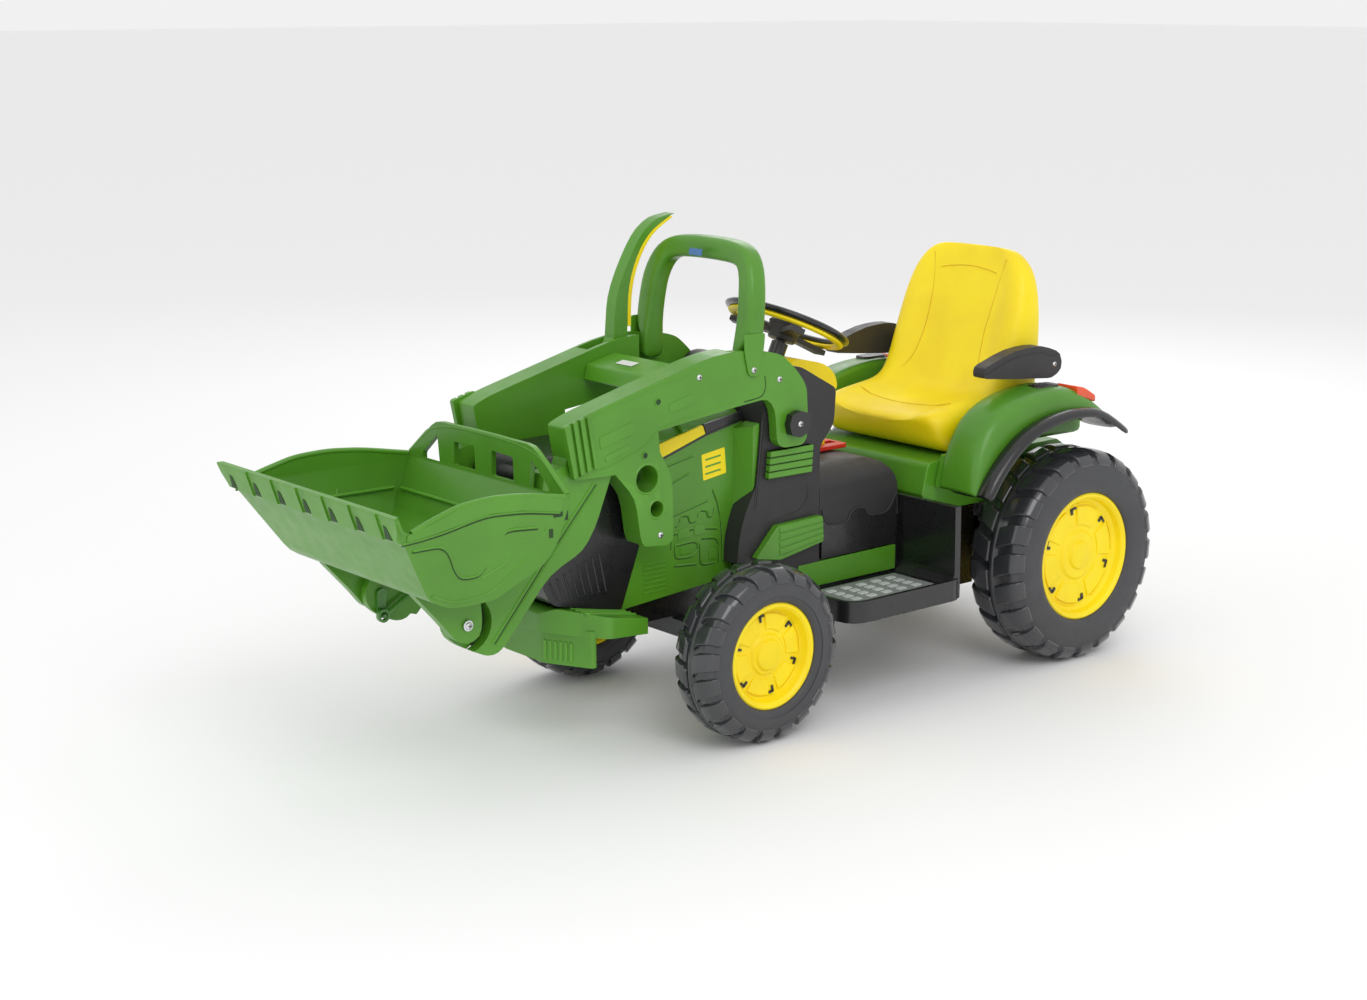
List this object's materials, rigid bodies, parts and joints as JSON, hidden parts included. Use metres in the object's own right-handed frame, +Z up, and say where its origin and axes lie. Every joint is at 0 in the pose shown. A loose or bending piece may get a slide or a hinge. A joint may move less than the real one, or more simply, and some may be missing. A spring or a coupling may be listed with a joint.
{
  "type": "ride-on toy front loader",
  "caption": "Battery ride-on toy tractor for a child with a front loader bucket, hoop lift handle and tilt lever.",
  "frame": {"origin": "centre of the bounding box at ground level", "axes": "+X forward towards the bucket, +Y to the driver's left, +Z up"},
  "size_m": [1.644, 0.596, 0.8256],
  "materials": {
    "green": "satin moulded plastic, leaf green",
    "yellow": "satin moulded plastic, yellow",
    "charcoal": "fine-textured dark grey plastic",
    "black": "black plastic",
    "tyre": "hard blow-moulded plastic tyre, dark grey with glossier lugs",
    "grey_mat": "grey plastic step tread",
    "lamp": "orange-red lens",
    "red": "red plastic",
    "steel": "zinc-plated steel",
    "green_steel": "steel painted leaf green",
    "dark_steel": "dark painted steel"
  },
  "bodies": {
    "tractor": {"chassis_tub": "black", "cowl": "charcoal", "dash_console": "yellow", "tunnel_cover": "charcoal", "lever_boot": "red", "hood": "green", "nose_grille": "black", "front_bumper": "green", "seat_base": "green", "battery": "black", "rear_axle": "steel", "front_axle": "dark_steel", "steering_column": "black", "pedal_bracket": "black", "gear_motor_left": "charcoal", "cowl_insert_left": "green", "footboard_left": "black", "foot_mat_left": "grey_mat", "fender_left": "green", "mud_flap_left": "black", "tail_light_left": "lamp", "pivot_knob_left": "black", "gear_motor_right": "charcoal", "cowl_insert_right": "green", "footboard_right": "black", "foot_mat_right": "grey_mat", "fender_right": "green", "mud_flap_right": "black", "tail_light_right": "lamp", "pivot_knob_right": "black"},
    "loader_boom": {"arm_left": "green", "arm_right": "green", "cylinder_cover_left": "green", "cylinder_cover_right": "green", "cross_box": "green", "hoop_handle": "green"},
    "bucket": {"bucket": "green", "bucket_pin_left": "steel", "bucket_crank": "green_steel"},
    "tilt_lever": {"tilt_lever": "green", "lever_grip": "yellow"},
    "tilt_rod": {"tilt_rod": "green_steel"},
    "steering_wheel": {"steering_wheel_rim": "black", "steering_hub": "charcoal"},
    "tie_rod": {"tie_rod": "steel"},
    "seat": {"seat": "yellow"},
    "gear_lever": {"gear_lever": "yellow"},
    "accelerator_pedal": {"accelerator_pedal": "charcoal"},
    "knuckle_left": {"knuckle_left": "dark_steel"},
    "knuckle_right": {"knuckle_right": "dark_steel"},
    "front_left_wheel": {"front_left_tyre": "tyre", "front_left_rim": "yellow"},
    "front_right_wheel": {"front_right_tyre": "tyre", "front_right_rim": "yellow"},
    "rear_left_wheel": {"rear_left_tyre": "tyre", "rear_left_rim": "yellow"},
    "rear_right_wheel": {"rear_right_tyre": "tyre", "rear_right_rim": "yellow"},
    "armrest_left": {"armrest_left": "charcoal"},
    "armrest_right": {"armrest_right": "charcoal"}
  },
  "joints": [
    {"name": "loader_lift", "type": "hinge", "parent": "tractor", "child": "loader_boom", "pos_m": [-0.041, 0, 0.492], "axis": [0, -1, 0], "range_deg": [-10, 30]},
    {"name": "bucket_tilt", "type": "hinge", "parent": "loader_boom", "child": "bucket", "pos_m": [0.6215, 0, 0.261], "axis": [0, 1, 0], "range_deg": [0, 70]},
    {"name": "tilt_lever_swing", "type": "hinge", "parent": "loader_boom", "child": "tilt_lever", "pos_m": [0.145, -0.1245, 0.59], "axis": [0, 1, 0], "range_deg": [0, 27.5]},
    {"name": "tilt_rod_swing", "type": "hinge", "parent": "tilt_lever", "child": "tilt_rod", "pos_m": [0.12186, -0.094, 0.50821], "axis": [0, -1, 0], "range_deg": [0, 27.2]},
    {"name": "steering", "type": "hinge", "parent": "tractor", "child": "steering_wheel", "pos_m": [-0.153, 0, 0.631], "axis": [-0.4305, 0, 0.9026], "range_deg": [-35, 35]},
    {"name": "steer_left", "type": "hinge", "parent": "tractor", "child": "knuckle_left", "pos_m": [0.123, 0.165, 0.148], "axis": [0, 0, 1], "range_deg": [-15.2, 15.2]},
    {"name": "steer_right", "type": "hinge", "parent": "tractor", "child": "knuckle_right", "pos_m": [0.123, -0.165, 0.148], "axis": [0, 0, 1], "range_deg": [-15.2, 15.2]},
    {"name": "tie_rod_slide", "type": "slide", "parent": "tractor", "child": "tie_rod", "axis": [0, 1, 0], "range_m": [-0.0157, 0.0157]},
    {"name": "front_left_spin", "type": "hinge", "parent": "knuckle_left", "child": "front_left_wheel", "pos_m": [0.123, 0.2375, 0.148], "axis": [0, 1, 0], "continuous": true},
    {"name": "front_right_spin", "type": "hinge", "parent": "knuckle_right", "child": "front_right_wheel", "pos_m": [0.123, -0.2375, 0.148], "axis": [0, 1, 0], "continuous": true},
    {"name": "rear_left_spin", "type": "hinge", "parent": "tractor", "child": "rear_left_wheel", "pos_m": [-0.627, 0.2355, 0.195], "axis": [0, 1, 0], "continuous": true},
    {"name": "rear_right_spin", "type": "hinge", "parent": "tractor", "child": "rear_right_wheel", "pos_m": [-0.627, -0.2355, 0.195], "axis": [0, 1, 0], "continuous": true},
    {"name": "seat_slide", "type": "slide", "parent": "tractor", "child": "seat", "axis": [1, 0, 0], "range_m": [0, 0.04]},
    {"name": "armrest_left_fold", "type": "hinge", "parent": "seat", "child": "armrest_left", "pos_m": [-0.634, 0.19, 0.535], "axis": [0, -1, 0], "range_deg": [0, 100]},
    {"name": "armrest_right_fold", "type": "hinge", "parent": "seat", "child": "armrest_right", "pos_m": [-0.634, -0.19, 0.535], "axis": [0, -1, 0], "range_deg": [0, 100]},
    {"name": "gear_select", "type": "hinge", "parent": "tractor", "child": "gear_lever", "pos_m": [-0.243, 0, 0.375], "axis": [0, 1, 0], "range_deg": [-10, 10]},
    {"name": "pedal_press", "type": "hinge", "parent": "tractor", "child": "accelerator_pedal", "pos_m": [-0.147, -0.1825, 0.201], "axis": [0, 1, 0], "range_deg": [0, 12]}
  ],
  "couplings": [
    {"joint": "tilt_lever_swing", "follows": "bucket_tilt", "ratio": 0.38894},
    {"joint": "tilt_rod_swing", "follows": "bucket_tilt", "ratio": 0.38579},
    {"joint": "steer_left", "follows": "steering", "ratio": 0.42857},
    {"joint": "steer_right", "follows": "steering", "ratio": 0.42857},
    {"joint": "tie_rod_slide", "follows": "steering", "m_per_rad": -0.0254}
  ]
}
